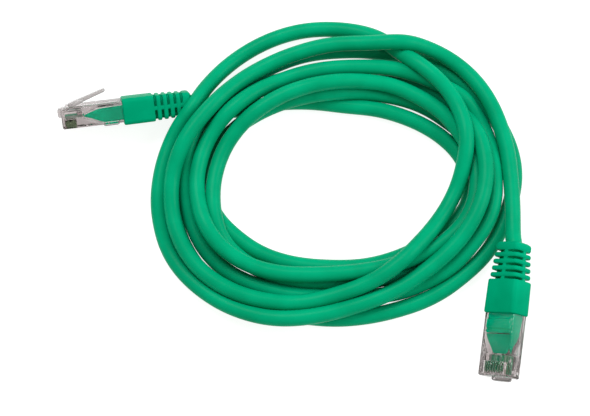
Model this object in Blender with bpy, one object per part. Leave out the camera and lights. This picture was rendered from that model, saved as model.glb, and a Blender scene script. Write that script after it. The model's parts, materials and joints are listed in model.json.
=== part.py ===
"""Ethernet patch cable: a loose coil of round cable with a clear 8P8C plug and a moulded boot at each end.

Metres, +Z up. The coil lies flat on z = 0 and the origin is at the bottom centre of the whole cable.
Each connector is modelled in its own frame and placed by a parent empty:
local x runs from the plug's nose to the cable, local y across the plug, local z towards the latch.
"""
import math

import bmesh
import bpy
from mathutils import Vector

MM = 0.001

# cable
CABLE_DIAMETER = 5.2 * MM
TOUCH_GAP = 0.3 * MM
OVERSHOOT = 1.0 * MM

# coil, seen from above: edges of the bundle every 30 degrees, counterclockwise from +X
COIL_CENTRE = (16.02 * MM, 8.43 * MM)
COIL_INNER_EDGE = (39.5, 30.0, 23.2, 21.7, 25.5, 33.2, 38.3, 38.8, 32.8, 30.2, 32.2, 34.8)
COIL_OUTER_EDGE = (61.0, 59.4, 55.0, 53.5, 54.0, 50.8, 59.5, 63.5, 58.0, 52.0, 53.5, 57.2)
COIL_HEIGHT = (12.6, 12.6, 11.8, 10.4, 11.8, 13.6, 13.0, 11.0, 10.4, 10.4, 11.4, 12.0)
COIL_STATIONS = 60
COIL_CORNER = 2.4 * MM

# plug housing
HOUSING_LENGTH = 20.1 * MM
HOUSING_WIDTH = 11.68 * MM
HOUSING_HEIGHT = 6.6 * MM
HOUSING_ROUND = 0.45 * MM
WALL = 0.6 * MM
CAVITY_START = 7.0 * MM
CAVITY_FLARE = 5.0 * MM
CAVITY_THROAT_INSET = 2.4 * MM
CAVITY_THROAT_HEIGHT = 1.6 * MM
CAVITY_ROUND = 0.5 * MM
WIRE_CHANNEL_START = 0.85 * MM
WIRE_CHANNEL_HEIGHT = 2.5 * MM
WIRE_CHANNEL_MARGIN = 0.2 * MM
WIRE_CHANNEL_DROP = 0.25 * MM
CHANNEL_OVERLAP = 0.4 * MM
CRIMP_PAD_START = 13.4 * MM
CRIMP_PAD_LENGTH = 5.2 * MM
CRIMP_PAD_WIDTH = 10.6 * MM
CRIMP_PAD_PROUD = 0.55 * MM
CRIMP_PAD_ROOT = 0.3 * MM
CRIMP_GROOVE_START = 14.2 * MM
CRIMP_GROOVE_LENGTH = 1.0 * MM
CRIMP_GROOVE_WIDTH = 8.0 * MM
CRIMP_GROOVE_DEPTH = 0.7 * MM
LATCH_ROOT_WIDTH = 6.2 * MM
LATCH_ROOT_LENGTH = 2.7 * MM
LATCH_ROOT_PROUD = 0.2 * MM
LATCH_ROOT_DEPTH = 1.2 * MM
LATCH_ROOT_OVERHANG = 1.1 * MM
NOSE_BLOCK_HEIGHT = 3.0 * MM
NOSE_BLOCK_DROP = 0.5 * MM
NOSE_BLOCK_BACK = 0.6 * MM

# contacts and conductors
POLES = 8
PITCH = 1.016 * MM
CONTACT_THICKNESS = 0.32 * MM
CONTACT_START = 1.05 * MM
CONTACT_END = 4.65 * MM
CONTACT_TOP = -0.55 * MM
CONTACT_NOTCH = 0.7 * MM
CONTACT_TINE = 0.9 * MM
CONTACT_FRONT_TINE = 1.3 * MM
CONTACT_RECESS = 0.35 * MM
SLOT_WIDTH = 0.56 * MM
SLOT_END_GAP = 0.15 * MM
SLOT_OVERLAP = 0.1 * MM
CONDUCTOR_DIAMETER = 0.86 * MM
CONDUCTOR_START = 1.15 * MM
CONDUCTOR_END = 7.0 * MM
CONDUCTOR_HEIGHT = 0.35 * MM
LOAD_BAR_START = 5.1 * MM
LOAD_BAR_LENGTH = 1.8 * MM
LOAD_BAR_WIDTH = 9.3 * MM
LOAD_BAR_HEIGHT = 0.9 * MM
LOAD_BAR_LIFT = 0.1 * MM
LOAD_BAR_ROUND = 0.25 * MM

# latch lever
LATCH_LENGTH = 13.3 * MM
LATCH_THICKNESS = 1.15 * MM
LATCH_WIDE = 6.2 * MM
LATCH_NARROW = 3.4 * MM
LATCH_SHOULDER = 5.2 * MM
LATCH_STEP = 0.9 * MM
LATCH_HINGE_GAP = 0.15 * MM
LATCH_TIP = ((0.7 * MM, 0.0, 1.0), (0.2 * MM, 0.2 * MM, 0.75), (0.0, 0.6 * MM, 0.35))
LATCH_ROOT_THIN = 0.85
LATCH_POCKET_START = 2.0 * MM
LATCH_POCKET_LENGTH = 5.0 * MM
LATCH_POCKET_WIDTH = 7.0 * MM
LATCH_POCKET_DEPTH = 0.8 * MM
LATCH_ANGLE = math.radians(18.5)
LATCH_PIVOT = (2.7 * MM, 0.0, HOUSING_HEIGHT / 2 - 0.3 * MM)

# boot
BOOT_LENGTH = 22.6 * MM
BOOT_SMOOTH_LENGTH = 10.2 * MM
BOOT_WIDTH = 12.2 * MM
BOOT_HEIGHT = 8.8 * MM
RIB_WIDTH = 11.4 * MM
RIB_HEIGHT = 8.4 * MM
BOOT_END_WIDTH = 8.9 * MM
BOOT_END_HEIGHT = 7.6 * MM
BOOT_ROUND = 1.5 * MM
BOOT_FRONT_HEIGHT = 8.7 * MM
BOOT_FRONT_EASE = 0.3 * MM
BOOT_END_EASE = 1.2 * MM
BOOT_END_NARROWING = 1.4 * MM
BORE_START = 1.0 * MM
RIB_COUNT = 5
RIB_PITCH = 2.2 * MM
RIB_SLOT = 0.95 * MM
RIB_CORE_RADIUS = 3.25 * MM
RIB_BRIDGE = 1.3 * MM
RIB_CUT_REACH = 8.0 * MM
TONGUE_WIDTH = 9.9 * MM
TONGUE_HEIGHT = 4.9 * MM
TONGUE_ROUND = 0.5 * MM

# wedge of jacket inside the housing: distance from the nose, width, height and corner radius
TONGUE_TAPER = (
    (7.4 * MM, 6.6 * MM, 0.5 * MM, 0.24 * MM),
    (12.6 * MM, 9.3 * MM, 3.7 * MM, 0.5 * MM),
    (15.8 * MM, 9.9 * MM, 4.9 * MM, 0.5 * MM),
)

# placement of the two connectors: nose position, heading, pitch and roll in degrees
LEFT_NOSE = (-75.58 * MM, 25.33 * MM, 10.3 * MM)
LEFT_TURN = (-63.5, 6.2, 9.6)
RIGHT_NOSE = (66.32 * MM, -60.19 * MM, 6.4 * MM)
RIGHT_TURN = (135.0, -5.0, 81.6)

# free cable between each boot and the coil, after its straight stretch in the boot
TAIL_END_GAP = 0.4 * MM
LEFT_TAIL_END = ((-31.8, 32.9, 4.9),)
RIGHT_TAIL_END = ((73.1, -11.2, 10.5), (73.3, -9.6, 10.4))

CONDUCTOR_COLOURS = (
    ("white_orange", (0.85, 0.62, 0.42)),
    ("orange", (0.86, 0.25, 0.03)),
    ("white_green", (0.62, 0.80, 0.62)),
    ("blue", (0.02, 0.10, 0.55)),
    ("white_blue", (0.60, 0.70, 0.85)),
    ("green", (0.02, 0.32, 0.08)),
    ("white_brown", (0.70, 0.58, 0.48)),
    ("brown", (0.16, 0.06, 0.02)),
)


def clear_scene():
    for item in list(bpy.data.objects):
        bpy.data.objects.remove(item, do_unlink=True)


def make_material(name, colour, roughness, metallic=0.0, transmission=0.0):
    material = bpy.data.materials.new(name)
    material.use_nodes = True
    shader = material.node_tree.nodes["Principled BSDF"]
    shader.inputs["Base Color"].default_value = (*colour, 1.0)
    shader.inputs["Roughness"].default_value = roughness
    shader.inputs["Metallic"].default_value = metallic
    shader.inputs["Transmission Weight"].default_value = transmission
    material.diffuse_color = (*colour, 1.0)
    return material


def add_object(name, mesh, material, parent=None):
    item = bpy.data.objects.new(name, mesh)
    bpy.context.scene.collection.objects.link(item)
    if material is not None and not mesh.materials:
        mesh.materials.append(material)
    item.parent = parent
    return item


def add_empty(name, position, turn_degrees):
    """An empty turned by roll, pitch and heading, in that order."""
    empty = bpy.data.objects.new(name, None)
    bpy.context.scene.collection.objects.link(empty)
    empty.location = position
    empty.rotation_euler = [math.radians(angle) for angle in turn_degrees]
    empty.empty_display_size = 5 * MM
    return empty


def loft_into(bm, sections, closed=False):
    """Skin a list of equal rings of points; the ends are capped unless the loft closes on itself."""
    rings = [[bm.verts.new(point) for point in section] for section in sections]
    count = len(rings[0])
    spans = len(rings) if closed else len(rings) - 1
    for i in range(spans):
        here = rings[i]
        there = rings[(i + 1) % len(rings)]
        for j in range(count):
            k = (j + 1) % count
            bm.faces.new((here[j], here[k], there[k], there[j]))
    if not closed:
        bm.faces.new(rings[0])
        bm.faces.new(rings[-1])


def finish_mesh(bm, name, smooth_angle=None):
    bmesh.ops.recalc_face_normals(bm, faces=bm.faces)
    mesh = bpy.data.meshes.new(name)
    bm.to_mesh(mesh)
    bm.free()
    if smooth_angle is not None:
        mesh.shade_smooth()
        mesh.set_sharp_from_angle(angle=math.radians(smooth_angle))
    return mesh


def loft_mesh(name, sections, closed=False, smooth_angle=None):
    bm = bmesh.new()
    loft_into(bm, sections, closed)
    return finish_mesh(bm, name, smooth_angle)


def box_sections(low, high):
    """The two end rings of a box, at its low and high x."""
    corners = ((low[1], low[2]), (high[1], low[2]), (high[1], high[2]), (low[1], high[2]))
    return [[Vector((x, y, z)) for y, z in corners] for x in (low[0], high[0])]


def rounded_section(x, width, height, radius, steps=3, centre_z=0.0):
    """A rectangle with round corners in the plane at x."""
    points = []
    quarter = math.pi / 2
    for corner, (side_y, side_z) in enumerate(((1, 1), (-1, 1), (-1, -1), (1, -1))):
        middle_y = side_y * (width / 2 - radius)
        middle_z = side_z * (height / 2 - radius) + centre_z
        for step in range(steps + 1):
            angle = corner * quarter + quarter * step / steps
            y = middle_y + radius * math.cos(angle)
            z = middle_z + radius * math.sin(angle)
            points.append(Vector((x, y, z)))
    return points


def round_section(x, radius, sides, centre_y=0.0, centre_z=0.0):
    points = []
    for side in range(sides):
        angle = 2 * math.pi * (side + 0.5) / sides
        points.append(Vector((x, centre_y + radius * math.cos(angle), centre_z + radius * math.sin(angle))))
    return points


def cut(target, bm, name):
    """Subtract the closed bodies in bm from the target, which keeps the Boolean."""
    cutter = add_object(name, finish_mesh(bm, name), None, target.parent)
    cutter.hide_render = True
    cutter.display_type = "WIRE"
    modifier = target.modifiers.new(name, "BOOLEAN")
    modifier.operation = "DIFFERENCE"
    modifier.solver = "EXACT"
    modifier.object = cutter


def join(target, bm, name):
    """Join the closed bodies in bm to the target, which keeps the Boolean."""
    helper = add_object(name, finish_mesh(bm, name), None, target.parent)
    helper.hide_render = True
    helper.display_type = "WIRE"
    modifier = target.modifiers.new(name, "BOOLEAN")
    modifier.operation = "UNION"
    modifier.solver = "EXACT"
    modifier.object = helper


def pole_offset(index):
    return (index - (POLES - 1) / 2) * PITCH


def plug_housing(side, parent, material):
    """Clear body: wire channel and contact slots in front, cable cavity behind, fixed root of the latch."""
    name = side + "_plug_housing"
    ease = HOUSING_ROUND
    pad_face = -HOUSING_HEIGHT / 2 - CRIMP_PAD_PROUD
    sections = [
        rounded_section(0.0, HOUSING_WIDTH - 2 * ease, HOUSING_HEIGHT - 2 * ease, ease),
        rounded_section(ease, HOUSING_WIDTH, HOUSING_HEIGHT, ease),
        rounded_section(HOUSING_LENGTH, HOUSING_WIDTH, HOUSING_HEIGHT, ease),
    ]
    housing = add_object(name, loft_mesh(name, sections, smooth_angle=30), material, parent)

    bm = bmesh.new()
    loft_into(bm, box_sections(
        (-LATCH_ROOT_OVERHANG, -LATCH_ROOT_WIDTH / 2, HOUSING_HEIGHT / 2 - NOSE_BLOCK_HEIGHT),
        (NOSE_BLOCK_BACK, LATCH_ROOT_WIDTH / 2, HOUSING_HEIGHT / 2 - NOSE_BLOCK_DROP)))
    join(housing, bm, side + "_nose_block")
    bm = bmesh.new()
    loft_into(bm, box_sections(
        (-LATCH_ROOT_OVERHANG, -LATCH_ROOT_WIDTH / 2, HOUSING_HEIGHT / 2 - LATCH_ROOT_DEPTH),
        (LATCH_ROOT_LENGTH - LATCH_ROOT_OVERHANG, LATCH_ROOT_WIDTH / 2, HOUSING_HEIGHT / 2 + LATCH_ROOT_PROUD)))
    join(housing, bm, side + "_latch_root")
    bm = bmesh.new()
    loft_into(bm, box_sections(
        (CRIMP_PAD_START, -CRIMP_PAD_WIDTH / 2, pad_face),
        (CRIMP_PAD_START + CRIMP_PAD_LENGTH, CRIMP_PAD_WIDTH / 2, -HOUSING_HEIGHT / 2 + CRIMP_PAD_ROOT)))
    join(housing, bm, side + "_crimp_pad")
    bm = bmesh.new()
    loft_into(bm, box_sections(
        (CRIMP_GROOVE_START, -CRIMP_GROOVE_WIDTH / 2, pad_face - OVERSHOOT),
        (CRIMP_GROOVE_START + CRIMP_GROOVE_LENGTH, CRIMP_GROOVE_WIDTH / 2, pad_face + CRIMP_GROOVE_DEPTH)))
    cut(housing, bm, side + "_crimp_groove")

    bm = bmesh.new()
    loft_into(bm, box_sections(
        (LATCH_POCKET_START, -LATCH_POCKET_WIDTH / 2, HOUSING_HEIGHT / 2 - LATCH_POCKET_DEPTH),
        (LATCH_POCKET_START + LATCH_POCKET_LENGTH, LATCH_POCKET_WIDTH / 2, HOUSING_HEIGHT / 2 + OVERSHOOT)))
    cut(housing, bm, side + "_latch_pocket")
    bm = bmesh.new()
    inner_width = HOUSING_WIDTH - 2 * WALL
    inner_height = HOUSING_HEIGHT - 2 * WALL
    loft_into(bm, [
        rounded_section(CAVITY_START, inner_width - CAVITY_THROAT_INSET, CAVITY_THROAT_HEIGHT, CAVITY_ROUND),
        rounded_section(CAVITY_START + CAVITY_FLARE, inner_width, inner_height, CAVITY_ROUND),
        rounded_section(HOUSING_LENGTH + OVERSHOOT, inner_width, inner_height, CAVITY_ROUND),
    ])
    cut(housing, bm, side + "_cable_cavity")
    bm = bmesh.new()
    channel_floor = CONDUCTOR_HEIGHT - CONDUCTOR_DIAMETER / 2 - WIRE_CHANNEL_DROP
    channel_side = LOAD_BAR_WIDTH / 2 + WIRE_CHANNEL_MARGIN
    loft_into(bm, box_sections(
        (WIRE_CHANNEL_START, -channel_side, channel_floor),
        (CAVITY_START + CHANNEL_OVERLAP, channel_side, channel_floor + WIRE_CHANNEL_HEIGHT)))
    cut(housing, bm, side + "_wire_channel")
    bm = bmesh.new()
    for index in range(POLES):
        middle = pole_offset(index)
        loft_into(bm, box_sections(
            (CONTACT_START - SLOT_END_GAP, middle - SLOT_WIDTH / 2, -HOUSING_HEIGHT / 2 - OVERSHOOT),
            (CONTACT_END + SLOT_END_GAP, middle + SLOT_WIDTH / 2, channel_floor + SLOT_OVERLAP)))
    cut(housing, bm, side + "_contact_slots")
    return housing


def latch_lever(side, parent, material):
    """Springy lever, raised at rest; its origin is on its living hinge."""
    name = side + "_plug_latch"
    half_thick = LATCH_THICKNESS / 2
    outline = [
        (0.0, LATCH_WIDE / 2, LATCH_ROOT_THIN),
        (LATCH_SHOULDER, LATCH_WIDE / 2, 1.0),
        (LATCH_SHOULDER + LATCH_STEP, LATCH_NARROW / 2, 1.0),
    ]
    for from_tip, narrowing, share in LATCH_TIP:
        outline.append((LATCH_LENGTH - from_tip, LATCH_NARROW / 2 - narrowing, share))
    sections = []
    for x, half_width, share in outline:
        thick = half_thick * share
        sections.append([Vector((x, y, z)) for y, z in (
            (-half_width, -thick), (half_width, -thick), (half_width, thick), (-half_width, thick))])
    lever = add_object(name, loft_mesh(name, sections), material, parent)
    lever.location = LATCH_PIVOT
    lever.rotation_euler = (0.0, -LATCH_ANGLE, 0.0)
    for vertex in lever.data.vertices:
        vertex.co.z += half_thick
        vertex.co.x += LATCH_HINGE_GAP
    return lever


def contact_blades(side, parent, material):
    """Eight gold plated blades that stand in the housing's slots."""
    bottom = -HOUSING_HEIGHT / 2 + CONTACT_RECESS
    name = side + "_contact"
    half = CONTACT_THICKNESS / 2
    profile = (
        (CONTACT_START, CONTACT_TOP - CONTACT_NOTCH),
        (CONTACT_START, bottom + CONTACT_NOTCH),
        (CONTACT_START + CONTACT_NOTCH, bottom),
        (CONTACT_END, bottom),
        (CONTACT_END, CONTACT_TOP - CONTACT_NOTCH),
        (CONTACT_END - CONTACT_TINE, CONTACT_TOP),
        (CONTACT_END - 2 * CONTACT_TINE, CONTACT_TOP - CONTACT_NOTCH),
        (CONTACT_START + CONTACT_FRONT_TINE, CONTACT_TOP),
    )
    sections = [[Vector((x, y, z)) for x, z in profile] for y in (-half, half)]
    mesh = loft_mesh(name, sections)
    for index in range(POLES):
        blade = add_object(f"{name}_{index + 1}", mesh, material, parent)
        blade.location = (0.0, pole_offset(index), 0.0)


def conductors(side, parent, materials):
    """Eight insulated wires in a row over the blades, each in its own colour."""
    for index in range(POLES):
        name = f"{side}_conductor_{index + 1}"
        sections = [
            round_section(x, CONDUCTOR_DIAMETER / 2, 10, pole_offset(index), CONDUCTOR_HEIGHT)
            for x in (CONDUCTOR_START, CONDUCTOR_END)
        ]
        add_object(name, loft_mesh(name, sections, smooth_angle=50), materials[index], parent)


def load_bar(side, parent, material):
    """Flat guide that keeps the conductors in order behind the contacts."""
    name = side + "_load_bar"
    low = CONDUCTOR_HEIGHT + CONDUCTOR_DIAMETER / 2 + LOAD_BAR_LIFT
    section = [
        rounded_section(x, LOAD_BAR_WIDTH, LOAD_BAR_HEIGHT, LOAD_BAR_ROUND, 2, low + LOAD_BAR_HEIGHT / 2)
        for x in (LOAD_BAR_START, LOAD_BAR_START + LOAD_BAR_LENGTH)
    ]
    add_object(name, loft_mesh(name, section, smooth_angle=40), material, parent)


def slot_corner(bm, start, sign_y, sign_z):
    """One quarter of a ring slot, left between two bridges and outside the core."""
    inner = RIB_BRIDGE / 2
    outer = RIB_CUT_REACH
    first = math.asin(inner / RIB_CORE_RADIUS)
    last = math.pi / 2 - first
    steps = 4
    outline = [(inner, outer)]
    for step in range(steps + 1):
        angle = last + (first - last) * step / steps
        outline.append((RIB_CORE_RADIUS * math.cos(angle), RIB_CORE_RADIUS * math.sin(angle)))
    outline += [(outer, inner), (outer, outer)]
    sections = [
        [Vector((x, sign_y * y, sign_z * z)) for y, z in outline]
        for x in (start, start + RIB_SLOT)
    ]
    loft_into(bm, sections)


def moulded_boot(side, parent, material):
    """Strain relief: wedge inside the housing, smooth grip, then ribs joined by four bridges."""
    name = side + "_boot"
    rear = HOUSING_LENGTH + TOUCH_GAP
    ease = BOOT_FRONT_EASE
    sections = [rounded_section(x, width, height, corner) for x, width, height, corner in TONGUE_TAPER]
    sections += [
        rounded_section(rear, TONGUE_WIDTH, TONGUE_HEIGHT, TONGUE_ROUND),
        rounded_section(rear, BOOT_WIDTH - 2 * ease, BOOT_FRONT_HEIGHT - 2 * ease, BOOT_ROUND - ease),
        rounded_section(rear + ease, BOOT_WIDTH, BOOT_FRONT_HEIGHT, BOOT_ROUND),
    ]
    for x, width, height in (
            (BOOT_SMOOTH_LENGTH, BOOT_WIDTH, BOOT_HEIGHT),
            (BOOT_SMOOTH_LENGTH + RIB_SLOT, RIB_WIDTH, RIB_HEIGHT),
            (BOOT_LENGTH - BOOT_END_EASE, BOOT_END_WIDTH, BOOT_END_HEIGHT),
            (BOOT_LENGTH, BOOT_END_WIDTH - BOOT_END_NARROWING, BOOT_END_HEIGHT - BOOT_END_EASE)):
        sections.append(rounded_section(rear + x, width, height, BOOT_ROUND))
    boot = add_object(name, loft_mesh(name, sections, smooth_angle=35), material, parent)

    bm = bmesh.new()
    bore = CABLE_DIAMETER / 2 + TOUCH_GAP
    loft_into(bm, [round_section(x, bore, 16) for x in (rear + BORE_START, rear + BOOT_LENGTH + OVERSHOOT)])
    cut(boot, bm, side + "_boot_bore")
    bm = bmesh.new()
    for slot in range(RIB_COUNT):
        start = rear + BOOT_SMOOTH_LENGTH + slot * RIB_PITCH
        for sign_y, sign_z in ((1, 1), (-1, 1), (-1, -1), (1, -1)):
            slot_corner(bm, start, sign_y, sign_z)
    cut(boot, bm, side + "_boot_slots")
    return boot


def connector(side, nose, turn_degrees, materials):
    parent = add_empty(side + "_connector", nose, turn_degrees)
    plug_housing(side, parent, materials["plug"])
    latch_lever(side, parent, materials["plug"])
    contact_blades(side, parent, materials["gold"])
    conductors(side, parent, materials["wires"])
    load_bar(side, parent, materials["guide"])
    moulded_boot(side, parent, materials["cable"])
    return parent


def around(values, degrees):
    """Smooth value at any angle, from values given every 30 degrees."""
    count = len(values)
    place = (degrees / (360 / count)) % count
    index = int(place)
    t = place - index
    before, here, after, beyond = (values[(index + k) % count] for k in (-1, 0, 1, 2))
    return here + 0.5 * t * (
        after - before + t * (2 * before - 5 * here + 4 * after - beyond + t * (3 * (here - after) + beyond - before)))


def cable_coil(material):
    """Outer shape of the wound cable: one closed ring that rests on the floor."""
    centre = Vector((*COIL_CENTRE, 0.0))
    sections = []
    for station in range(COIL_STATIONS):
        degrees = 360 * station / COIL_STATIONS
        inner = around(COIL_INNER_EDGE, degrees) * MM
        outer = around(COIL_OUTER_EDGE, degrees) * MM
        height = around(COIL_HEIGHT, degrees) * MM
        direction = Vector((math.cos(math.radians(degrees)), math.sin(math.radians(degrees)), 0.0))
        side = COIL_CORNER
        profile = (
            (inner + 0.5 * side, 0.0), (outer - 0.5 * side, 0.0),
            (outer, 0.5 * side), (outer, 1.5 * side), (outer - side, 0.5 * (height + 2 * side)),
            (outer - 2.5 * side, height), (inner + 2 * side, height),
            (inner + 0.6 * side, 0.5 * (height + 2 * side)), (inner, 1.5 * side), (inner, 0.5 * side),
        )
        sections.append([centre + direction * radius + Vector((0.0, 0.0, z)) for radius, z in profile])
    mesh = loft_mesh("cable_coil", sections, closed=True, smooth_angle=40)
    return add_object("cable_coil", mesh, material)


def cable_tail(side, parent, path_mm, material):
    """Free cable from inside the boot to the coil, as a round curve."""
    name = side + "_cable_tail"
    bpy.context.view_layer.update()
    start = HOUSING_LENGTH + TOUCH_GAP + BORE_START + TAIL_END_GAP
    end = HOUSING_LENGTH + TOUCH_GAP + BOOT_LENGTH
    straight = [parent.matrix_world @ Vector((start + (end - start) * share, 0.0, 0.0)) for share in (0.0, 0.5, 1.0)]
    points = straight + [Vector(point) * MM for point in path_mm]
    curve = bpy.data.curves.new(name, "CURVE")
    curve.dimensions = "3D"
    curve.bevel_depth = CABLE_DIAMETER / 2
    curve.bevel_resolution = 4
    curve.use_fill_caps = True
    curve.render_resolution_u = 0
    spline = curve.splines.new("POLY")
    spline.points.add(len(points) - 1)
    for index, point in enumerate(points):
        spline.points[index].co = (*point, 1.0)
    curve.materials.append(material)
    item = bpy.data.objects.new(name, curve)
    bpy.context.scene.collection.objects.link(item)
    return item


def main():
    clear_scene()
    materials = {
        "cable": make_material("cable_green", (0.0, 0.37, 0.17), 0.32),
        "plug": make_material("clear_plug", (0.86, 0.86, 0.87), 0.12, transmission=0.9),
        "gold": make_material("gold_contact", (0.83, 0.60, 0.24), 0.25, metallic=1.0),
        "guide": make_material("wire_guide", (0.80, 0.80, 0.80), 0.3),
        "wires": [make_material("wire_" + name, colour, 0.4) for name, colour in CONDUCTOR_COLOURS],
    }
    left = connector("left", LEFT_NOSE, LEFT_TURN, materials)
    right = connector("right", RIGHT_NOSE, RIGHT_TURN, materials)
    cable_coil(materials["cable"])
    cable_tail("left", left, LEFT_TAIL_END, materials["cable"])
    cable_tail("right", right, RIGHT_TAIL_END, materials["cable"])


main()
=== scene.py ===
"""Ethernet patch cable: the looks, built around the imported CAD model.

Metres, +Z up, in the CAD model's frame. The cable is one round tube that winds about seven loose turns on the
table between the two connectors. Each connector is built in its own frame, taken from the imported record:
local x runs from the plug's nose to the cable, local y across the plug, local z towards the latch.
"""

import json
import math

import bmesh
import bpy
import numpy as np
from mathutils import Matrix, Vector


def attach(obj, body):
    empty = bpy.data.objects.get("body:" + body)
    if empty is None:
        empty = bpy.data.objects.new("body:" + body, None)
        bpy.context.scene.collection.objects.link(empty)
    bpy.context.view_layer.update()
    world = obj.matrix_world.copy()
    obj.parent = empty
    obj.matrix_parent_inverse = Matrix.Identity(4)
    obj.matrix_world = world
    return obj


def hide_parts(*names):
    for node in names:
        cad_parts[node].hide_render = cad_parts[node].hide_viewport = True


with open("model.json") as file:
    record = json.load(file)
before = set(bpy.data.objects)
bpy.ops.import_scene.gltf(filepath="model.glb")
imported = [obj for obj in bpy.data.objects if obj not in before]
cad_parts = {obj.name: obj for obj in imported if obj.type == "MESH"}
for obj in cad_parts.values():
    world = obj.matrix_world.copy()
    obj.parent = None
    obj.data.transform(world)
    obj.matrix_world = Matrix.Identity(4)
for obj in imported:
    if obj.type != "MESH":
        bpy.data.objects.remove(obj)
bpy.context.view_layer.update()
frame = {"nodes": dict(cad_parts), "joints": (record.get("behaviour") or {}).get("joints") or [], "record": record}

MM = 0.001
SIDES = ("left", "right")
QUADRANTS = ((1, 1), (-1, 1), (-1, -1), (1, -1))
CORNER_STEPS = 5
ARC_STEPS = 8

# plug housing, as in the CAD model
HOUSING_LENGTH = 20.1 * MM
HOUSING_WIDTH = 11.68 * MM
HOUSING_HEIGHT = 6.6 * MM
HOUSING_TOP = HOUSING_HEIGHT / 2
HOUSING_EASE = 0.5 * MM
HOUSING_LOW_EASE = 0.85 * MM
WALL = 0.6 * MM
NOSE_OVERHANG = 1.1 * MM
NOSE_BLOCK_HEIGHT = 3.0 * MM
NOSE_BLOCK_WIDTH = 6.7 * MM
LATCH_ROOT_END = 1.7 * MM
LATCH_ANGLE = math.radians(18.5)
POCKET_START = 2.0 * MM
POCKET_END = 7.0 * MM
POCKET_WIDTH = 7.0 * MM
RAIL_OFFSET = 4.6 * MM
RAIL_WIDTH = 1.6 * MM
RAIL_START = 1.6 * MM
PAD_START = 13.4 * MM
PAD_END = 18.6 * MM
PAD_WIDTH = 10.6 * MM
PAD_PROUD = 0.55 * MM
PAD_BOTTOM = -HOUSING_TOP - PAD_PROUD
CAVITY_START = 7.0 * MM
CAVITY_FULL = 12.0 * MM

# contacts, with the slots that hold them and the channel for the conductors
POLES = 8
PITCH = 1.016 * MM
SLOT_WIDTH = 0.56 * MM
SLOT_START = 0.9 * MM
SLOT_END = 4.8 * MM
CHANNEL_FLOOR = -0.33 * MM
CHANNEL_START = 0.85 * MM
CHANNEL_END = 7.4 * MM
CHANNEL_HALF_WIDTH = 4.85 * MM
CHANNEL_HEIGHT = 2.5 * MM

# latch lever
LEVER_LENGTH = 13.4 * MM
LEVER_SHOULDER = 5.2 * MM
LEVER_HALF_WIDE = 3.1 * MM
LEVER_HALF_THIN = 1.7 * MM
LEVER_ROOT_THICK = 1.45 * MM
LEVER_TAPER = 0.35 * MM

# boot, with the wedge in front of it; the right boot's grip is a little longer than the left one's
BOOT_GAP = 0.3 * MM
BOOT_LENGTH = 22.6 * MM
BOOT_START = HOUSING_LENGTH + BOOT_GAP
BOOT_END = BOOT_START + BOOT_LENGTH
BOOT_SMOOTH = 10.2 * MM
BOOT_BORE_CLEARANCE = 0.12 * MM
GRIP_STRETCH = {"left": 0.0, "right": 0.5 * MM}
STRETCH_START = BOOT_START + 2.0 * MM
RIB_COUNT = 5
RIB_PITCH = 2.2 * MM
RIB_SLOT = 0.82 * MM
RIB_CORE_RADIUS = 3.25 * MM
RIB_BRIDGE = 1.3 * MM
RIB_CORNER = 1.6 * MM
# front of the grip: distance behind its start, width, height and corner radius, in millimetres
GRIP_FRONT = (
    (-0.25, 11.5, 8.0, 1.2),
    (-0.13, 12.05, 8.5, 1.4),
    (0.25, 12.35, 8.8, 1.5),
)
# the wedge from its thin edge to its rear: x, width, height, corner radius and middle height, in millimetres
WEDGE_PROFILE = (
    (7.4, 5.0, 0.5, 0.24, 0.0),
    (9.5, 7.2, 1.6, 0.4, -0.1),
    (11.5, 9.2, 2.9, 0.5, -0.25),
    (13.2, 10.1, 3.8, 0.5, -0.4),
    (15.0, 10.1, 4.3, 0.5, -0.35),
    (20.6, 10.1, 4.9, 0.5, 0.0),
)
WEDGE_GROOVES = (13.5 * MM, 14.8 * MM)
WEDGE_GROOVE_WIDTH = 0.5 * MM
WEDGE_GROOVE_DEPTH = 1.75 * MM

# camera: nearly straight down, from the near side
CAMERA_AIM = Vector((1.75 * MM, -2.79 * MM, 0.0))
CAMERA_ELEVATION = math.radians(75.0)
CAMERA_DISTANCE = 450 * MM
CAMERA_LENS = 82.37
EYE = CAMERA_AIM + Vector((0.0, -math.cos(CAMERA_ELEVATION), math.sin(CAMERA_ELEVATION))) * CAMERA_DISTANCE

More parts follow.
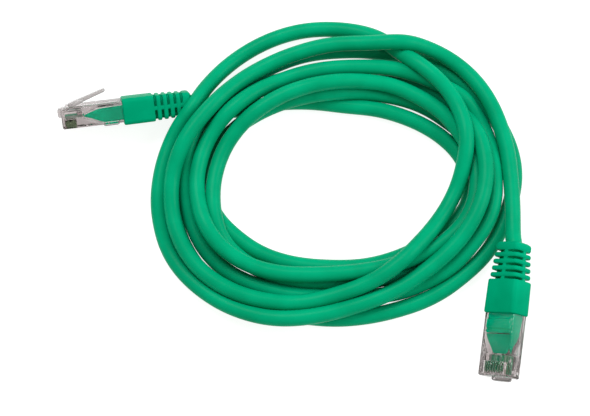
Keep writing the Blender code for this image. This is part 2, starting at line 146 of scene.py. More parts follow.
# cable: radius of the winding every 15 degrees, counterclockwise from +X, one row a turn, in millimetres.
# The plan is drawn at one height, as the camera sees it; a turn that rests higher stays on its line of sight.
CABLE_DIAMETER = 5.2 * MM
PLAN_HEIGHT = 4.0 * MM
COIL_CENTRE = Vector((15.72 * MM, 8.73 * MM, 0.0))
STATIONS = 24
LEAD_IN = 60.0
TURNS = (
    (57.6, 57.4, 57.3, 55.9, 52.6, 47.3, 45.6, 44.3, 44.4, 45.8, 48.0, 51.5,
     54.8, 56.6, 57.0, 54.9, 50.6, 46.4, 42.0, 39.2, 37.5, 36.7, 37.2, 39.2),
    (41.9, 45.6, 47.4, 47.7, 47.2, 50.2, 50.9, 51.7, 52.1, 52.7, 53.6, 55.8,
     58.4, 60.5, 61.0, 59.0, 55.6, 51.3, 46.8, 45.0, 44.5, 44.6, 46.5, 48.5),
    (49.9, 49.0, 45.6, 42.5, 39.0, 37.5, 34.5, 35.6, 37.5, 40.2, 43.0, 48.0,
     54.5, 56.2, 57.0, 56.0, 53.0, 50.5, 49.8, 50.1, 51.3, 53.3, 56.4, 57.9),
    (59.5, 57.6, 53.9, 51.0, 47.5, 44.4, 42.8, 42.9, 43.0, 45.0, 47.0, 50.0,
     51.0, 51.5, 51.5, 49.6, 45.7, 42.5, 41.5, 43.6, 46.7, 48.9, 50.6, 53.3),
    (52.3, 52.1, 49.5, 45.5, 42.2, 38.3, 36.8, 36.6, 37.3, 39.6, 42.3, 44.7,
     47.0, 47.2, 46.9, 44.0, 40.0, 36.4, 34.8, 35.0, 36.9, 40.2, 44.0, 46.8),
    (46.6, 45.0, 41.7, 38.0, 35.8, 33.0, 31.8, 31.6, 32.3, 33.7, 35.8, 38.3,
     40.6, 43.0, 44.6, 43.5, 41.5, 39.6, 38.4, 38.8, 40.5, 43.8, 48.0, 50.4),
    (48.7, 45.4, 40.1, 35.3, 31.2, 28.6, 27.5, 28.0, 29.5, 32.1, 36.0, 40.0,
     43.5, 44.0, 42.0, 38.6, 35.8, 33.8, 33.3, 34.1, 35.3, 37.5, 41.1, 45.5),
    (45.0, 39.1, 33.2, 28.5, 25.8, 24.6, 23.9, 25.4, 28.3, 33.0, 41.0),
)
# how high each turn starts before it settles, every 30 degrees, in layers above the table
LAYERS = (
    "112222222222",
    "332001200222",
    "210000000000",
    "001111110001",
    "112211221111",
    "111111100000",
    "000000000000",
    "000000",
)
LAYER_HEIGHT = 0.9 * CABLE_DIAMETER
TURN_LIFT = 0.6 * MM
IN_BOOT = (BOOT_START + 1.6 * MM, BOOT_START + 8 * MM, BOOT_START + 15 * MM, BOOT_END)

# how the drawn cable settles: each round it sinks, is drawn back to its plan, straightens and is pushed apart
ROUNDS = 420
SINK = 0.10 * MM
SLOW_FROM = 0.75
SLOW_SHARE = 0.3
PULL_TO_PLAN = 0.08
STIFFNESS = np.array((0.08, 0.08, 0.16))
MOBILITY = np.array((0.3, 0.3, 1.0))
CONTACT_DISTANCE = CABLE_DIAMETER * 1.005
CONTACT_RELAXATION = 1.25
BOOT_DISTANCE = CABLE_DIAMETER / 2 + 4.0 * MM
BOOT_PUSH = 0.6
DRAWN_SPACING = 3.0 * MM
FINAL_SPACING = 1.3 * MM
TUBE_SIDES = 20

# the matt faces beside the latch, which also carry painted shade, and a painted glow on the green wedge and
# the conductors inside the clear plastic, standing in for the light that the plastic gathers and sends onto them
FROST_AND_SHADE = "frosted_shaded_side"
WEDGE_PAINTED_GLOW = 0.45
WIRE_PAINTED_GLOW = 0.4
CLEAR_IOR = 1.30
CLEAR_SPECULAR = 0.2
CLEAR_ABSORPTION = 70.0


def latch_hinge(side):
    """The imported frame's row for this connector's latch hinge."""
    return next(joint for joint in frame["joints"] if joint["name"] == side + "_latch_hinge")


def connector_frame(side):
    """The connector's placement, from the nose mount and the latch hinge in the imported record."""
    mount = next(row for row in frame["record"]["mounts"] if row["name"] == side + "_plug_nose")
    x_axis = -Vector(mount["axis"]).normalized()
    y_axis = Vector(latch_hinge(side)["axis"]).normalized()
    z_axis = x_axis.cross(y_axis).normalized()
    nose_height = HOUSING_TOP - NOSE_BLOCK_HEIGHT / 2
    origin = Vector(mount["pos_m"]) + x_axis * NOSE_OVERHANG - z_axis * nose_height
    matrix = Matrix((x_axis, y_axis, z_axis)).transposed().to_4x4()
    matrix.translation = origin
    return matrix


PLACE = {side: connector_frame(side) for side in SIDES}


def on_axis(side, x):
    """A point of the connector's long axis, in the world."""
    return np.array(PLACE[side] @ Vector((x, 0.0, 0.0)))


# ---------------------------------------------------------------- cable route


def spline_through(points, spacing):
    """Points at an even spacing along the Catmull-Rom curve through the given points."""
    dense = []
    padded = np.vstack([2 * points[0] - points[1], points, 2 * points[-1] - points[-2]])
    for i in range(1, len(padded) - 2):
        a, b, c, d = padded[i - 1:i + 3]
        for t in np.arange(0.0, 1.0, 0.05):
            dense.append(b + 0.5 * t * (c - a + t * (2 * a - 5 * b + 4 * c - d + t * (3 * (b - c) + d - a))))
    dense.append(points[-1])
    dense = np.array(dense)
    steps = np.linalg.norm(np.diff(dense, axis=0), axis=1)
    along = np.concatenate([[0.0], np.cumsum(steps)])
    count = int(round(along[-1] / spacing)) + 1
    places = np.linspace(0.0, along[-1], count)
    return np.stack([np.interp(places, along, dense[:, k]) for k in range(3)], axis=1)


def winding_targets():
    """The route as drawn from above, each point at the height of its layer before it settles."""
    radius = CABLE_DIAMETER / 2
    points = [on_axis("right", x) for x in IN_BOOT]
    first_layer = int(LAYERS[0][0])
    rows = [(-1, LEAD_IN, first_layer)]
    for turn, radii in enumerate(TURNS):
        heights = [int(digit) for digit in LAYERS[turn]]
        following = int(LAYERS[turn + 1][0]) if turn + 1 < len(LAYERS) else 0
        for station, value in enumerate(radii):
            here = heights[station // 2]
            after = heights[station // 2 + 1] if station // 2 + 1 < len(heights) else following
            layer = here if station % 2 == 0 else 0.5 * (here + after)
            rows.append((turn * STATIONS + station, value, layer))
    for station, value, layer in rows:
        angle = 2 * math.pi * station / STATIONS
        place = COIL_CENTRE + Vector((math.cos(angle), math.sin(angle), 0.0)) * value * MM
        height = radius + layer * LAYER_HEIGHT + (len(TURNS) - station / STATIONS) * TURN_LIFT
        points.append(np.array((place.x, place.y, height)))
    points += [on_axis("left", x) for x in reversed(IN_BOOT)]
    return np.array(points)


def in_sight(plan, heights):
    """Where a route drawn at plan height lies at other heights, along the camera's lines of sight."""
    eye = np.array(EYE)
    share = (eye[2] - heights) / (eye[2] - PLAN_HEIGHT)
    return eye[:2] + (plan - eye[:2]) * share[:, None]


def boot_obstacles():
    """Points along both boots that the cable has to stay clear of."""
    places = np.arange(HOUSING_LENGTH, BOOT_END - MM, 2 * MM)
    return np.array([on_axis(side, x) for side in SIDES for x in places])


def add_up(index, values, count):
    """Sums the rows of values that share an index."""
    return np.stack([np.bincount(index, values[:, k], count) for k in range(3)], axis=1)


def close_pairs(place, reach, least_steps):
    """Pairs of points closer than reach that are at least so many steps apart along the cable."""
    distance = np.linalg.norm(place[:, None, :] - place[None, :, :], axis=2)
    first, second = np.nonzero(np.triu(distance < reach, least_steps))
    return first, second


def push_apart(place, first, second):
    """Moves touching stretches of the cable off each other, mostly up and down."""
    count = len(place)
    apart = place[first] - place[second]
    distance = np.linalg.norm(apart, axis=1)
    touching = distance < CONTACT_DISTANCE
    one = first[touching]
    other = second[touching]
    normal = apart[touching] / np.maximum(distance[touching], 1e-9)[:, None]
    weight = (normal * normal * MOBILITY).sum(axis=1)
    push = normal * (0.5 * (CONTACT_DISTANCE - distance[touching]) / weight)[:, None]
    move = add_up(one, push, count) - add_up(other, push, count)
    contacts = np.bincount(one, None, count) + np.bincount(other, None, count)
    place += CONTACT_RELAXATION * move * MOBILITY / np.maximum(contacts, 1)[:, None]


def keep_off_boots(place, obstacles, in_boot):
    """Moves the cable away from the boots, except where it is inside one."""
    apart = place[:, None, :] - obstacles[None, :, :]
    distance = np.linalg.norm(apart, axis=2)
    index = np.arange(len(place))
    nearest = distance.argmin(axis=1)
    near = distance[index, nearest]
    away = apart[index, nearest] / near[:, None]
    blocked = (near < BOOT_DISTANCE) & ~in_boot
    place[blocked] += away[blocked] * (BOOT_DISTANCE - near[blocked])[:, None] * BOOT_PUSH


def settle(points, pinned):
    """Lets the cable sink under its weight until its turns rest on the table and on each other."""
    obstacles = boot_obstacles()
    plan = points[:, :2].copy()
    place = points.copy()
    index = np.arange(len(points))
    in_boot = (index < pinned + 3) | (index >= len(points) - pinned - 3)
    least_steps = int(2.5 * CABLE_DIAMETER / DRAWN_SPACING)
    for step in range(ROUNDS):
        if step % 10 == 0:
            first, second = close_pairs(place, CONTACT_DISTANCE + 3 * MM, least_steps)
        place[:, 2] -= SINK if step < SLOW_FROM * ROUNDS else SLOW_SHARE * SINK
        place[:, :2] += PULL_TO_PLAN * (in_sight(plan, place[:, 2]) - place[:, :2])
        bent = place[:-2] - 2 * place[1:-1] + place[2:]
        place[1:-1] += bent * STIFFNESS
        for _ in range(2):
            push_apart(place, first, second)
            keep_off_boots(place, obstacles, in_boot)
            place[:, 2] = np.maximum(place[:, 2], CABLE_DIAMETER / 2)
            place[:pinned] = points[:pinned]
            place[-pinned:] = points[-pinned:]
    return place


def smooth_path(points, pinned):
    """Softens what is left of the contact ripples, and samples the route evenly."""
    place = points.copy()
    for _ in range(2):
        place[1:-1] += 0.25 * (place[:-2] - 2 * place[1:-1] + place[2:])
        place[:pinned] = points[:pinned]
        place[-pinned:] = points[-pinned:]
    return spline_through(place, FINAL_SPACING)


def tube_mesh(name, path, radius, sides):
    """A round closed tube along a path, whose rings follow the path without twisting."""
    tangents = np.gradient(path, axis=0)
    tangents /= np.linalg.norm(tangents, axis=1)[:, None]
    side = np.cross(tangents[0], (0.0, 0.0, 1.0))
    rings = []
    for point, tangent in zip(path, tangents):
        side = side - tangent * side.dot(tangent)
        side /= np.linalg.norm(side)
        up = np.cross(tangent, side)
        angles = 2 * math.pi * np.arange(sides) / sides
        rings.append(point + radius * (np.outer(np.cos(angles), side) + np.outer(np.sin(angles), up)))
    vertices = np.concatenate(rings)
    faces = []
    for ring in range(len(rings) - 1):
        low = ring * sides
        high = low + sides
        for k in range(sides):
            after = (k + 1) % sides
            faces.append((low + k, low + after, high + after, high + k))
    faces.append(tuple(reversed(range(sides))))
    last = (len(rings) - 1) * sides
    faces.append(tuple(range(last, last + sides)))
    mesh = bpy.data.meshes.new(name)
    mesh.from_pydata([tuple(v) for v in vertices], [], faces)
    mesh.update()
    mesh.shade_smooth()
    return mesh


# ---------------------------------------------------------------- materials


def new_material(name):
    """A node material, with its nodes, its links and its shader."""
    material = bpy.data.materials.new(name)
    material.use_nodes = True
    nodes = material.node_tree.nodes
    return material, nodes, material.node_tree.links, nodes["Principled BSDF"]


def noise(nodes, links, scale, detail=3.0):
    """Noise in the object's own space, at a scale per metre."""
    place = nodes.new("ShaderNodeTexCoord")
    texture = nodes.new("ShaderNodeTexNoise")
    texture.inputs["Scale"].default_value = scale
    texture.inputs["Detail"].default_value = detail
    links.new(place.outputs["Object"], texture.inputs["Vector"])
    return texture.outputs["Fac"]


def ramp(nodes, links, value, stops):
    """A colour ramp over a value."""
    node = nodes.new("ShaderNodeValToRGB")
    elements = node.color_ramp.elements
    while len(elements) < len(stops):
        elements.new(0.5)
    for element, (position, colour) in zip(elements, stops):
        element.position = position
        element.color = (*colour, 1.0)
    links.new(value, node.inputs["Fac"])
    return node.outputs["Color"]


def spread(nodes, links, value, low, high):
    """Maps noise around its middle to a range."""
    node = nodes.new("ShaderNodeMapRange")
    node.inputs["From Min"].default_value = 0.3
    node.inputs["From Max"].default_value = 0.7
    node.inputs["To Min"].default_value = low
    node.inputs["To Max"].default_value = high
    links.new(value, node.inputs["Value"])
    return node.outputs["Result"]


def bump(nodes, links, value, distance):
    """Fine surface relief of a given depth."""
    node = nodes.new("ShaderNodeBump")
    node.inputs["Distance"].default_value = distance
    links.new(value, node.inputs["Height"])
    return node.outputs["Normal"]


def jacket_material(name="jacket_green", dark=(0.0, 0.278, 0.130), light=(0.0, 0.328, 0.158), gloss=0.03):
    """Satin PVC: an even green, faintly mottled, with a fine orange-peel surface."""
    material, nodes, links, shader = new_material(name)
    tone = ramp(nodes, links, noise(nodes, links, 90.0), ((0.35, dark), (0.65, light)))
    links.new(tone, shader.inputs["Base Color"])
    links.new(spread(nodes, links, noise(nodes, links, 400.0), 0.24, 0.34), shader.inputs["Roughness"])
    links.new(bump(nodes, links, noise(nodes, links, 1600.0, 2.0), 0.02 * MM), shader.inputs["Normal"])
    shader.inputs["Specular IOR Level"].default_value = gloss
    return material


def wedge_material():
    """The jacket's green inside the clear housing, with a brighter base colour and a painted glow standing in for
    the light the plastic gathers.
    """
    # painted light: a brighter green than the jacket's own, standing in for light through the clear plastic
    material = jacket_material("wedge_green", (0.0, 0.55, 0.27), (0.0, 0.63, 0.32), 0.0)
    shader = material.node_tree.nodes["Principled BSDF"]
    # painted glow: emission that stands in for the light the plastic gathers
    shader.inputs["Emission Color"].default_value = (0.0, 0.34, 0.20, 1.0)
    shader.inputs["Emission Strength"].default_value = WEDGE_PAINTED_GLOW
    return material


def mark_frosted_and_shaded(mesh):
    """Marks the matt faces beside the latch, which the housing's material makes less clear and darkens with
    painted shade.
    """
    marks = mesh.attributes.new(FROST_AND_SHADE, "FLOAT", "FACE")
    lowest = HOUSING_HEIGHT / 2 - 0.2 * MM
    for face in mesh.polygons:
        on_top = face.normal.z > 0.8 and face.center.z > lowest
        beside_latch = abs(face.center.y) > RAIL_OFFSET - RAIL_WIDTH / 2 or face.center.x < LATCH_ROOT_END
        marks.data[face.index].value = 1.0 if on_top and beside_latch else 0.0


def frost_and_shade(nodes, links, shader, tone, clarity):
    """Makes the marked faces less clear than the rest, and darker with painted shade."""
    marks = nodes.new("ShaderNodeAttribute")
    marks.attribute_name = FROST_AND_SHADE
    change = nodes.new("ShaderNodeMapRange")
    change.inputs["To Min"].default_value = clarity
    change.inputs["To Max"].default_value = 0.45 * clarity
    links.new(marks.outputs["Fac"], change.inputs["Value"])
    links.new(change.outputs["Result"], shader.inputs["Transmission Weight"])
    # painted shade: the marked faces are multiplied to a darker grey
    darker = nodes.new("ShaderNodeMixRGB")
    darker.blend_type = "MULTIPLY"
    darker.inputs["Color2"].default_value = (0.56, 0.545, 0.54, 1.0)
    links.new(marks.outputs["Fac"], darker.inputs["Fac"])
    links.new(tone, darker.inputs["Color1"])
    links.new(darker.outputs["Color"], shader.inputs["Base Color"])


def clear_material(name, tones, clarity, depth_tint=None):
    """Clear moulded plastic with sharp gloss; where it is thick, a warm grey tint builds up with depth."""
    material, nodes, links, shader = new_material(name)
    tone = ramp(nodes, links, noise(nodes, links, 260.0), ((0.3, tones[0]), (0.7, tones[1])))
    links.new(spread(nodes, links, noise(nodes, links, 500.0), 0.02, 0.08), shader.inputs["Roughness"])
    frost_and_shade(nodes, links, shader, tone, clarity)
    shader.inputs["IOR"].default_value = CLEAR_IOR
    shader.inputs["Specular IOR Level"].default_value = CLEAR_SPECULAR
    links.new(bump(nodes, links, noise(nodes, links, 700.0, 2.0), 0.05 * MM), shader.inputs["Normal"])
    if depth_tint:
        volume = nodes.new("ShaderNodeVolumeAbsorption")
        volume.inputs["Color"].default_value = (*depth_tint, 1.0)
        volume.inputs["Density"].default_value = CLEAR_ABSORPTION
        links.new(volume.outputs["Volume"], nodes["Material Output"].inputs["Volume"])
    return material


def gold_material():
    """Contact plating, painted dark green instead of gold: painted shade of the slots it sits in and painted
    reflection of the green wedge and conductors around it.
    """
    material, nodes, links, shader = new_material("gold_plate")
    # painted shade and painted green reflection, in place of the plating's gold
    stops = ((0.3, (0.20, 0.36, 0.22)), (0.7, (0.38, 0.54, 0.36)))
    tone = ramp(nodes, links, noise(nodes, links, 900.0), stops)
    links.new(tone, shader.inputs["Base Color"])
    shader.inputs["Metallic"].default_value = 1.0
    links.new(spread(nodes, links, noise(nodes, links, 1500.0), 0.18, 0.34), shader.inputs["Roughness"])
    return material


def wire_material(name, colour):
    """Insulation of one conductor, with a painted glow standing in for the light that the plastic gathers."""
    material, nodes, links, shader = new_material(name)
    darker = tuple(0.8 * value for value in colour)
    tone = ramp(nodes, links, noise(nodes, links, 1200.0), ((0.35, darker), (0.65, colour)))
    links.new(tone, shader.inputs["Base Color"])
    # painted glow: the insulation's tone is also used as emission
    links.new(tone, shader.inputs["Emission Color"])
    shader.inputs["Emission Strength"].default_value = WIRE_PAINTED_GLOW
    links.new(spread(nodes, links, noise(nodes, links, 2500.0), 0.35, 0.5), shader.inputs["Roughness"])
    return material


def floor_material():
    """A plain pale studio table, lit a little from inside so that it stays white."""
    material, nodes, links, shader = new_material("studio_white")
    stops = ((0.3, (0.26, 0.26, 0.26)), (0.7, (0.28, 0.28, 0.28)))
    tone = ramp(nodes, links, noise(nodes, links, 6.0), stops)
    links.new(tone, shader.inputs["Base Color"])
    shader.inputs["Roughness"].default_value = 0.9
    shader.inputs["Emission Color"].default_value = (1.0, 1.0, 1.0, 1.0)
    shader.inputs["Emission Strength"].default_value = 0.87
    return material


# ---------------------------------------------------------------- stage


def add_camera():
    """The photo's view: level horizon, no tilt to either side."""
    data = bpy.data.cameras.new("camera")
    data.lens = CAMERA_LENS
    data.sensor_width = 36.0
    data.clip_start = 0.01
    camera = bpy.data.objects.new("camera", data)
    bpy.context.scene.collection.objects.link(camera)
    camera.location = EYE
    camera.rotation_euler = (math.pi / 2 - CAMERA_ELEVATION, 0.0, 0.0)
    bpy.context.scene.camera = camera


def add_area_light(name, position, size, power, tint):
    """A soft rectangular light that shines at the middle of the table."""
    data = bpy.data.lights.new(name, "AREA")
    data.color = tint
    data.shape = "RECTANGLE"
    data.size, data.size_y = size
    data.energy = power
    light = bpy.data.objects.new(name, data)
    bpy.context.scene.collection.objects.link(light)
    light.location = position
    light.rotation_euler = (-Vector(position)).to_track_quat("-Z", "Y").to_euler()


def add_stage():
    """Plain pale table, two softboxes and an even studio light."""
    bm = bmesh.new()
    bmesh.ops.create_grid(bm, x_segments=8, y_segments=8, size=2.0)
    mesh = bpy.data.meshes.new("table")
    bm.to_mesh(mesh)
    bm.free()
    mesh.materials.append(floor_material())
    table = bpy.data.objects.new("table", mesh)
    bpy.context.scene.collection.objects.link(table)

    world = bpy.data.worlds.new("studio")
    bpy.context.scene.world = world
    world.use_nodes = True
    background = world.node_tree.nodes["Background"]
    background.inputs["Color"].default_value = (1.0, 0.99, 0.86, 1.0)
    background.inputs["Strength"].default_value = 0.55
    add_area_light("key_softbox", (-0.20, 0.40, 0.75), (0.5, 0.4), 5.5, (0.92, 0.97, 1.0))
    add_area_light("fill_softbox", (0.60, 0.05, 0.45), (0.4, 0.4), 3.0, (0.86, 0.95, 1.0))
    settings = bpy.context.scene.view_settings
    settings.view_transform = "Standard"
    settings.look = "None"


# ---------------------------------------------------------------- solid building, in the connector's frame


def rounded_section(x, width, height, radius, centre_z=0.0, centre_y=0.0):
    """A rectangle with round corners in the plane at x."""
    points = []
    for corner, (side_y, side_z) in enumerate(QUADRANTS):
        middle_y = side_y * (width / 2 - radius) + centre_y
        middle_z = side_z * (height / 2 - radius) + centre_z
        for step in range(CORNER_STEPS + 1):
            angle = 0.5 * math.pi * (corner + step / CORNER_STEPS)
            y = middle_y + radius * math.cos(angle)
            z = middle_z + radius * math.sin(angle)
            points.append(Vector((x, y, z)))
    return points


def round_section(x, radius, sides):
    """A circle in the plane at x."""
    angles = [2 * math.pi * side / sides for side in range(sides)]
    return [Vector((x, radius * math.cos(angle), radius * math.sin(angle))) for angle in angles]


def box_sections(low, high):
    """The two end rectangles of a box between two corner points."""
    corners = ((low[1], low[2]), (high[1], low[2]), (high[1], high[2]), (low[1], high[2]))
    return [[Vector((x, y, z)) for y, z in corners] for x in (low[0], high[0])]


def loft_into(bm, sections):
    """Skins a list of equal rings of points and caps both ends."""
    rings = [[bm.verts.new(point) for point in section] for section in sections]
    for here, there in zip(rings, rings[1:]):
        for j in range(len(here)):
            k = (j + 1) % len(here)
            bm.faces.new((here[j], here[k], there[k], there[j]))
    bm.faces.new(rings[0])
    bm.faces.new(rings[-1])


def solid(name, *lofts):
    """An object of one or more closed lofts."""
    bm = bmesh.new()
    for sections in lofts:
        loft_into(bm, sections)
    bmesh.ops.recalc_face_normals(bm, faces=bm.faces)
    mesh = bpy.data.meshes.new(name)
    bm.to_mesh(mesh)
    bm.free()
    item = bpy.data.objects.new(name, mesh)
    bpy.context.scene.collection.objects.link(item)
    return item


def combine(target, helper, operation):
    """Joins the helper to the target or cuts it out, then removes the helper."""
    modifier = target.modifiers.new(operation, "BOOLEAN")
    modifier.operation = operation
    modifier.solver = "EXACT"
    modifier.object = helper
    bake(target)
    bpy.data.objects.remove(helper, do_unlink=True)


def bake(target):
    """Turns the object's modifiers into plain mesh."""
    evaluated = target.evaluated_get(bpy.context.evaluated_depsgraph_get())
    mesh = bpy.data.meshes.new_from_object(evaluated)
    target.modifiers.clear()
    target.data = mesh


def soften(target, width, segments, limit=32.0, smooth=40.0):
    """Rounds the edges sharper than the limit and shades the result smooth."""
    bm = bmesh.new()
    bm.from_mesh(target.data)
    bmesh.ops.remove_doubles(bm, verts=bm.verts, dist=0.004 * MM)
    bmesh.ops.dissolve_limit(bm, angle_limit=math.radians(1.0), verts=bm.verts, edges=bm.edges)
    bm.to_mesh(target.data)
    bm.free()
    modifier = target.modifiers.new("soft_edges", "BEVEL")
    modifier.width = width
    modifier.segments = segments
    modifier.limit_method = "ANGLE"
    modifier.angle_limit = math.radians(limit)
    modifier.use_clamp_overlap = True
    bake(target)
    target.data.shade_smooth()
    target.data.set_sharp_from_angle(angle=math.radians(smooth))


def settle_piece(item, name, side, material, body):
    """Places a finished piece in the world and lets it ride its body."""
    item.name = name
    item.data.name = name
    item.data.transform(PLACE[side])
    item.data.materials.clear()
    item.data.materials.append(material)
    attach(item, body)


# ---------------------------------------------------------------- plug housing


def eased_front():
    """Sections of the housing: round front edges, deeper on the contact side, then a straight body."""
    sections = []
    for step in range(CORNER_STEPS + 1):
        angle = 0.5 * math.pi * step / CORNER_STEPS
        inset = HOUSING_EASE * (1 - math.sin(angle))
        low_inset = HOUSING_LOW_EASE * (1 - math.sin(angle))
        x = HOUSING_EASE * (1 - math.cos(angle))
        width = HOUSING_WIDTH - 2 * inset
        height = HOUSING_HEIGHT - inset - low_inset
        sections.append(rounded_section(x, width, height, HOUSING_EASE, 0.5 * (low_inset - inset)))
    sections.append(rounded_section(HOUSING_LENGTH, HOUSING_WIDTH, HOUSING_HEIGHT, HOUSING_EASE))
    return sections


def nose_block():
    """Block with a rounded front that stands out past the contacts, under the latch."""
    start = -NOSE_OVERHANG
    middle = HOUSING_TOP - NOSE_BLOCK_HEIGHT / 2
    return solid("nose", [
        rounded_section(x, NOSE_BLOCK_WIDTH - narrower, NOSE_BLOCK_HEIGHT - lower, corner, middle)
        for x, narrower, lower, corner in (
            (start, 1.6 * MM, 1.2 * MM, 0.8 * MM),
            (start + 0.14 * MM, 0.7 * MM, 0.5 * MM, 0.9 * MM),
            (start + 0.45 * MM, 0.0, 0.0, 1.0 * MM),
            (0.7 * MM, 0.0, 0.0, 1.0 * MM))])


def latch_root():
    """Low bar across the nose that carries the lever."""
    return solid("root", [
        rounded_section(x, NOSE_BLOCK_WIDTH, 1.2 * MM, 0.3 * MM, HOUSING_TOP - 0.4 * MM)
        for x in (0.2 * MM, LATCH_ROOT_END)])


def crimp_pad():
    """Pad on the contact side, where the jacket is crimped, with eased ends."""
    ease = 0.5 * MM
    slope = 0.4 * MM
    ends = ((PAD_START, ease), (PAD_START + slope, 0.0), (PAD_END - slope, 0.0), (PAD_END, ease))
    return solid("pad", [
        rounded_section(x, PAD_WIDTH - inset, 2.4 * MM, 0.5 * MM, PAD_BOTTOM + 1.2 * MM + inset / 2)
        for x, inset in ends])


def latch_rails():
    """The two matt rails beside the latch."""
    return solid("rails", *[
        [rounded_section(x, RAIL_WIDTH, 1.0 * MM, 0.3 * MM, HOUSING_TOP, offset)
         for x in (RAIL_START, HOUSING_LENGTH)]
        for offset in (-RAIL_OFFSET, RAIL_OFFSET)])


def latch_pocket():
    """Recess that the pressed lever sinks into."""
    return solid("pocket", [
        rounded_section(x, POCKET_WIDTH, 2.6 * MM, 0.4 * MM, HOUSING_TOP + 0.5 * MM)
        for x in (POCKET_START, POCKET_END)])


def cable_cavity():
    """Room for the jacket, tapered in front and open behind."""
    inner_width = HOUSING_WIDTH - 2 * WALL
    inner_height = HOUSING_HEIGHT - 2 * WALL
    corner = 0.5 * MM
    return solid("cavity", [
        rounded_section(CAVITY_START, inner_width - 2.4 * MM, 1.6 * MM, corner),
        rounded_section(CAVITY_FULL, inner_width, inner_height, corner),
        rounded_section(HOUSING_LENGTH + 1.0 * MM, inner_width, inner_height, corner)])


def pad_room():
    """Hollow of the crimp pad."""
    inset = 0.3 * MM
    return solid("pad_room", [
        rounded_section(x, PAD_WIDTH - 1.0 * MM, 2.0 * MM, 0.4 * MM, PAD_BOTTOM + 1.25 * MM)
        for x in (PAD_START + inset, PAD_END - inset)])


def conductor_channel():
    """Flat channel that holds the row of conductors and the load bar."""
    return solid("channel", box_sections(
        (CHANNEL_START, -CHANNEL_HALF_WIDTH, CHANNEL_FLOOR),
        (CHANNEL_END, CHANNEL_HALF_WIDTH, CHANNEL_FLOOR + CHANNEL_HEIGHT)))


def contact_slots():
    """Slots from the channel out to the contact side, one for each contact."""
    boxes = []
    for index in range(POLES):
        middle = (index - (POLES - 1) / 2) * PITCH
        low = (SLOT_START, middle - SLOT_WIDTH / 2, -HOUSING_TOP - 1.0 * MM)
        high = (SLOT_END, middle + SLOT_WIDTH / 2, CHANNEL_FLOOR + 0.1 * MM)
        boxes.append(box_sections(low, high))
    return solid("slots", *boxes)


def make_housing(side, material):
    """Clear moulded body, built up from its blocks and then hollowed out."""
    name = side + "_clear_housing"
    item = solid(name, eased_front())
    for block in (nose_block(), latch_root(), crimp_pad(), latch_rails()):
        combine(item, block, "UNION")
    for hollow in (latch_pocket(), cable_cavity(), pad_room(), conductor_channel(), contact_slots()):
        combine(item, hollow, "DIFFERENCE")
    soften(item, 0.10 * MM, 2)
    mark_frosted_and_shaded(item.data)
    settle_piece(item, name, side, material, "cable")
    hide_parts(side + "_plug_housing")
    return item


# ---------------------------------------------------------------- latch lever


def lever_outline():
    """Plan of the lever: wide root, stepped shoulders, narrow finger with a round tip."""
    ease = 0.3 * MM
    root = [(0.15 * MM, -LEVER_HALF_WIDE), (LEVER_SHOULDER - ease, -LEVER_HALF_WIDE),
            (LEVER_SHOULDER, -LEVER_HALF_WIDE + ease), (LEVER_SHOULDER + 0.15 * MM, -LEVER_HALF_THIN - ease),
            (LEVER_SHOULDER + 0.5 * MM, -LEVER_HALF_THIN)]
    tip = []
    depth = 1.0 * MM
    for step in range(ARC_STEPS + 1):
        angle = math.pi * (step / ARC_STEPS - 0.5)
        tip.append((LEVER_LENGTH - depth + depth * math.cos(angle), LEVER_HALF_THIN * math.sin(angle)))
    return root + tip + [(x, -y) for x, y in reversed(root)]


def make_lever(side, material):
    """Springy lever, raised at rest, thicker at its root and softly rounded all over."""
    name = side + "_clear_lever"
    outline = lever_outline()
    low = [Vector((x, y, 0.0)) for x, y in outline]
    high = [Vector((x, y, LEVER_ROOT_THICK - LEVER_TAPER * x / LEVER_LENGTH)) for x, y in outline]
    item = solid(name, [low, high])
    soften(item, 0.32 * MM, 3, 40.0, 60.0)
    place = PLACE[side].inverted() @ Vector(latch_hinge(side)["pos_m"])
    item.data.transform(Matrix.Translation(place) @ Matrix.Rotation(-LATCH_ANGLE, 4, "Y"))
    settle_piece(item, name, side, material, side + "_latch")
    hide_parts(side + "_plug_latch")
    return item


# ---------------------------------------------------------------- wedge and boot


def make_wedge(side, material):
    """Green wedge that fills the housing from behind, with two crimp grooves under the pad."""
    name = side + "_jacket_wedge"
    item = solid(name, [
        rounded_section(x * MM, width * MM, height * MM, corner * MM, middle * MM)
        for x, width, height, corner, middle in WEDGE_PROFILE])
    filling = solid("filling", [
        rounded_section(x, PAD_WIDTH - 1.3 * MM, 2.8 * MM, 0.4 * MM, PAD_BOTTOM + 1.75 * MM)
        for x in (PAD_START + 0.5 * MM, PAD_END - 0.5 * MM)])
    combine(item, filling, "UNION")
    low = -HOUSING_TOP - 1.0 * MM
    grooves = solid("grooves", *[box_sections(
        (x, -PAD_WIDTH / 2, low), (x + WEDGE_GROOVE_WIDTH, PAD_WIDTH / 2, low + WEDGE_GROOVE_DEPTH))
        for x in WEDGE_GROOVES])
    combine(item, grooves, "DIFFERENCE")
    soften(item, 0.16 * MM, 2)
    settle_piece(item, name, side, material, "cable")
    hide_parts(side + "_boot")
    return item


def slot_corner(start, sign_y, sign_z):
    """One quarter of a ring slot, left between two bridges and outside the core."""
    inner = RIB_BRIDGE / 2
    outer = 8.0 * MM
    first = math.asin(inner / RIB_CORE_RADIUS)
    last = math.pi / 2 - first
    outline = [(inner, outer)]
    for step in range(ARC_STEPS + 1):
        angle = last + (first - last) * step / ARC_STEPS
        outline.append((RIB_CORE_RADIUS * math.cos(angle), RIB_CORE_RADIUS * math.sin(angle)))
    outline += [(outer, inner), (outer, outer)]
    return [[Vector((x, sign_y * y, sign_z * z)) for y, z in outline] for x in (start, start + RIB_SLOT)]


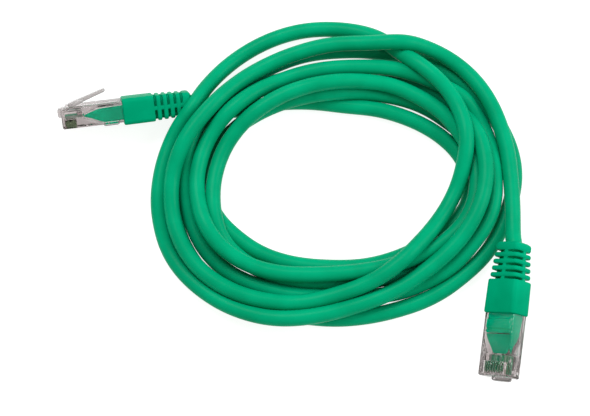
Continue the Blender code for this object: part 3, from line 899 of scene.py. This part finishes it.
def rib_sections(rib):
    """One rib of the boot, swelling a little in its middle; the ribs get smaller towards the cable."""
    front = BOOT_START + BOOT_SMOOTH + RIB_SLOT + rib * RIB_PITCH
    back = front + RIB_PITCH - RIB_SLOT
    if rib == RIB_COUNT - 1:
        back = BOOT_END - 0.5 * MM
    share = (rib + 0.5) / RIB_COUNT
    width = (11.5 - 2.0 * share) * MM
    height = (8.5 - 0.6 * share) * MM
    ease = 0.4 * MM
    swell = 0.05 * MM
    return [
        rounded_section(x, width - inset, height - inset, RIB_CORNER)
        for x, inset in ((front, ease), (0.75 * front + 0.25 * back, swell),
                         (0.25 * front + 0.75 * back, swell), (back, ease))]


def boot_sections():
    """The boot from its front edge to its rear ring."""
    sections = [
        rounded_section(BOOT_START + x * MM, width * MM, height * MM, corner * MM)
        for x, width, height, corner in GRIP_FRONT]
    end = BOOT_START + BOOT_SMOOTH
    sections.append(rounded_section(end - 0.4 * MM, 12.0 * MM, 8.75 * MM, 1.5 * MM))
    sections.append(rounded_section(end, 11.6 * MM, 8.4 * MM, 1.5 * MM))
    for rib in range(RIB_COUNT):
        sections += rib_sections(rib)
    sections.append(rounded_section(BOOT_END, 7.6 * MM, 6.6 * MM, RIB_CORNER))
    return sections


def make_boot(side, material):
    """Moulded strain relief: smooth grip, then round-crested ribs joined by four bridges."""
    name = side + "_ribbed_boot"
    item = solid(name, boot_sections())
    radius = CABLE_DIAMETER / 2 + BOOT_BORE_CLEARANCE
    bore = solid("bore", [round_section(x, radius, 32) for x in (BOOT_START + 1.0 * MM, BOOT_END + 1.0 * MM)])
    combine(item, bore, "DIFFERENCE")
    quarters = []
    for slot in range(RIB_COUNT):
        start = BOOT_START + BOOT_SMOOTH + slot * RIB_PITCH
        quarters += [slot_corner(start, y, z) for y, z in QUADRANTS]
    combine(item, solid("slots", *quarters), "DIFFERENCE")
    soften(item, 0.16 * MM, 2)
    for vertex in item.data.vertices:
        if vertex.co.x > STRETCH_START:
            vertex.co.x += GRIP_STRETCH[side]
    settle_piece(item, name, side, material, "cable")
    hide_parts(side + "_boot")
    return item


# ---------------------------------------------------------------- assembly


def add_piece(name, mesh, material, body):
    """Puts a mesh into the scene as a piece that rides a body."""
    piece = bpy.data.objects.new(name, mesh)
    bpy.context.scene.collection.objects.link(piece)
    mesh.materials.clear()
    mesh.materials.append(material)
    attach(piece, body)
    return piece


def add_cable(material, left_pieces):
    """The whole cable as one tube, replacing the CAD's coil and tails, with the left plug as its far end."""
    drawn = spline_through(winding_targets(), DRAWN_SPACING)
    pinned = int(round((BOOT_LENGTH - 1.0 * MM) / DRAWN_SPACING)) + 1
    path = smooth_path(settle(drawn, pinned), pinned)
    tube = tube_mesh("green_cable", path, CABLE_DIAMETER / 2, TUBE_SIDES)
    cable = add_piece("green_cable", tube, material, "cable")
    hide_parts("cable_coil", "left_cable_tail", "right_cable_tail")
    replaced = ("_tail", "_plug_housing", "_plug_latch", "_boot")
    far_end = [name for name in frame["nodes"] if name.startswith("left_") and not name.endswith(replaced)]
    far_end += [piece.name for piece in left_pieces]


def dress_cad_nodes(materials):
    """Gives every CAD node that stays in view its finished material."""
    for name, node in frame["nodes"].items():
        kind = name.split("_", 1)[1]
        if kind.startswith("contact"):
            chosen = materials["gold"]
        elif kind.startswith("conductor"):
            chosen = materials["wires"][int(kind.split("_")[1]) - 1]
        elif kind == "load_bar":
            chosen = materials["clear"]
        else:
            continue
        node.data.materials.clear()
        node.data.materials.append(chosen)


# the conductors in the order of the contacts, painted in green tones in place of their own colours, as a painted
# cast of the green light inside the plug
WIRE_COLOURS = (
    ("white_orange", (0.30, 0.36, 0.32)),
    ("orange", (0.05, 0.36, 0.20)),
    ("white_green", (0.20, 0.50, 0.34)),
    ("blue", (0.03, 0.34, 0.20)),
    ("white_blue", (0.22, 0.48, 0.36)),
    ("green", (0.02, 0.40, 0.18)),
    ("white_brown", (0.24, 0.44, 0.32)),
    ("brown", (0.08, 0.32, 0.18)),
)

CLEAR_TONES = ((0.69, 0.65, 0.65), (0.79, 0.75, 0.75))
CLEAR_TINT = (0.25, 0.16, 0.16)
LEVER_TONES = ((0.48, 0.44, 0.44), (0.53, 0.49, 0.49))

add_camera()
materials = {
    "jacket": jacket_material(),
    "boot": jacket_material("boot_green", (0.0, 0.275, 0.135), (0.0, 0.325, 0.163), 0.004),
    "wedge": wedge_material(),
    "clear": clear_material("clear_housing", CLEAR_TONES, 1.0, CLEAR_TINT),
    "lever": clear_material("clear_lever", LEVER_TONES, 0.6),
    "gold": gold_material(),
    "wires": [wire_material("wire_" + name, colour) for name, colour in WIRE_COLOURS],
}
pieces = {}
for side in SIDES:
    pieces[side] = (
        make_housing(side, materials["clear"]),
        make_lever(side, materials["lever"]),
        make_boot(side, materials["boot"]),
        make_wedge(side, materials["wedge"]),
    )
add_cable(materials["jacket"], pieces["left"])
dress_cad_nodes(materials)
add_stage()
